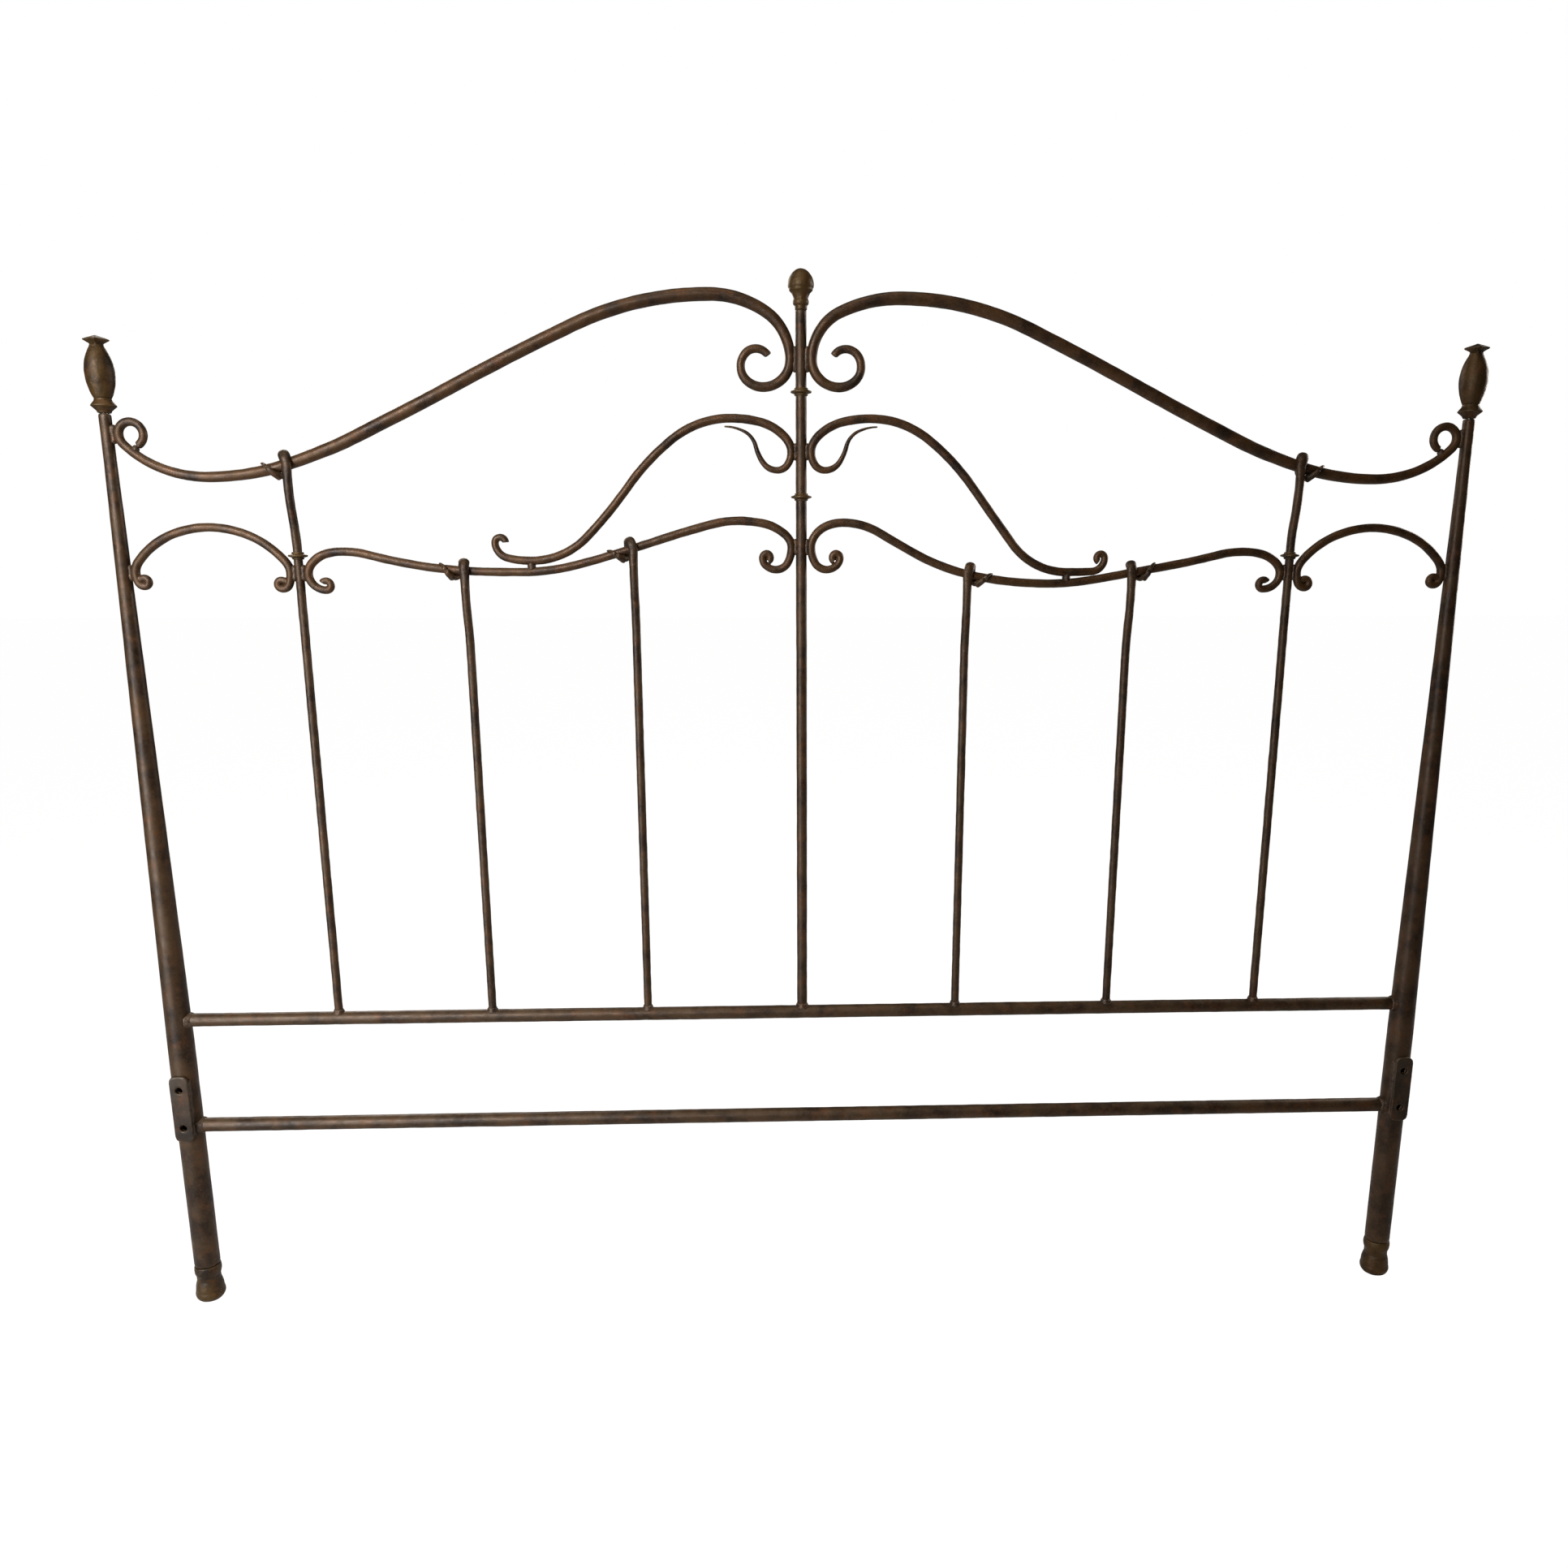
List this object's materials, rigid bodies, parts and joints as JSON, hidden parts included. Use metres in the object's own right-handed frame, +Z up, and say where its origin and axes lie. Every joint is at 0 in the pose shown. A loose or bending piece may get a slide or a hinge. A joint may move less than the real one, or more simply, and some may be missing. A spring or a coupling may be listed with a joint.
{
  "type": "bed headboard",
  "caption": "Wrought-iron bed headboard with tapered tube posts, scrolled top arches, vine-wrapped spindles, cast finials and bolt-on bed-rail plates.",
  "frame": {"origin": "on the floor, midway between the two posts", "axes": "+Z up, +X to the right seen from the front, front faces -Y"},
  "size_m": [1.565, 0.0365, 1.242],
  "materials": {
    "post_patina": "antique bronze patina, hand rubbed, satin",
    "bar_patina": "antique bronze patina, hand rubbed, satin",
    "scroll_patina": "antique bronze patina, hand rubbed, satin",
    "cast_patina": "antique bronze patina over rough cast surface, satin",
    "plate_patina": "antique bronze patina, satin",
    "weld_patina": "antique bronze patina over a weld bead, satin",
    "stud_steel": "plain steel, hidden"
  },
  "bodies": {
    "root": {"centre_bar": "bar_patina", "centre_bar_foot_weld": "weld_patina", "centre_bar_rings": "cast_patina", "centre_finial": "cast_patina", "left_bay_arch": "scroll_patina", "left_bracket_plate": "plate_patina", "left_bracket_welds": "weld_patina", "left_finial_stud": "stud_steel", "left_foot": "cast_patina", "left_inner_spindle": "bar_patina", "left_middle_spindle": "bar_patina", "left_outer_spindle": "bar_patina", "left_outer_spindle_ring": "cast_patina", "left_post": "post_patina", "left_post_collar": "cast_patina", "left_post_finial": "cast_patina", "left_rail_welds": "weld_patina", "left_s_scroll": "scroll_patina", "left_scroll_welds": "weld_patina", "left_spindle_foot_welds": "weld_patina", "left_top_arch": "scroll_patina", "left_wave_rod": "scroll_patina", "lower_rail": "bar_patina", "right_bay_arch": "scroll_patina", "right_bracket_plate": "plate_patina", "right_bracket_welds": "weld_patina", "right_finial_stud": "stud_steel", "right_foot": "cast_patina", "right_inner_spindle": "bar_patina", "right_middle_spindle": "bar_patina", "right_outer_spindle": "bar_patina", "right_outer_spindle_ring": "cast_patina", "right_post": "post_patina", "right_post_collar": "cast_patina", "right_post_finial": "cast_patina", "right_rail_welds": "weld_patina", "right_s_scroll": "scroll_patina", "right_scroll_welds": "weld_patina", "right_spindle_foot_welds": "weld_patina", "right_top_arch": "scroll_patina", "right_wave_rod": "scroll_patina", "upper_rail": "bar_patina"}
  },
  "joints": []
}
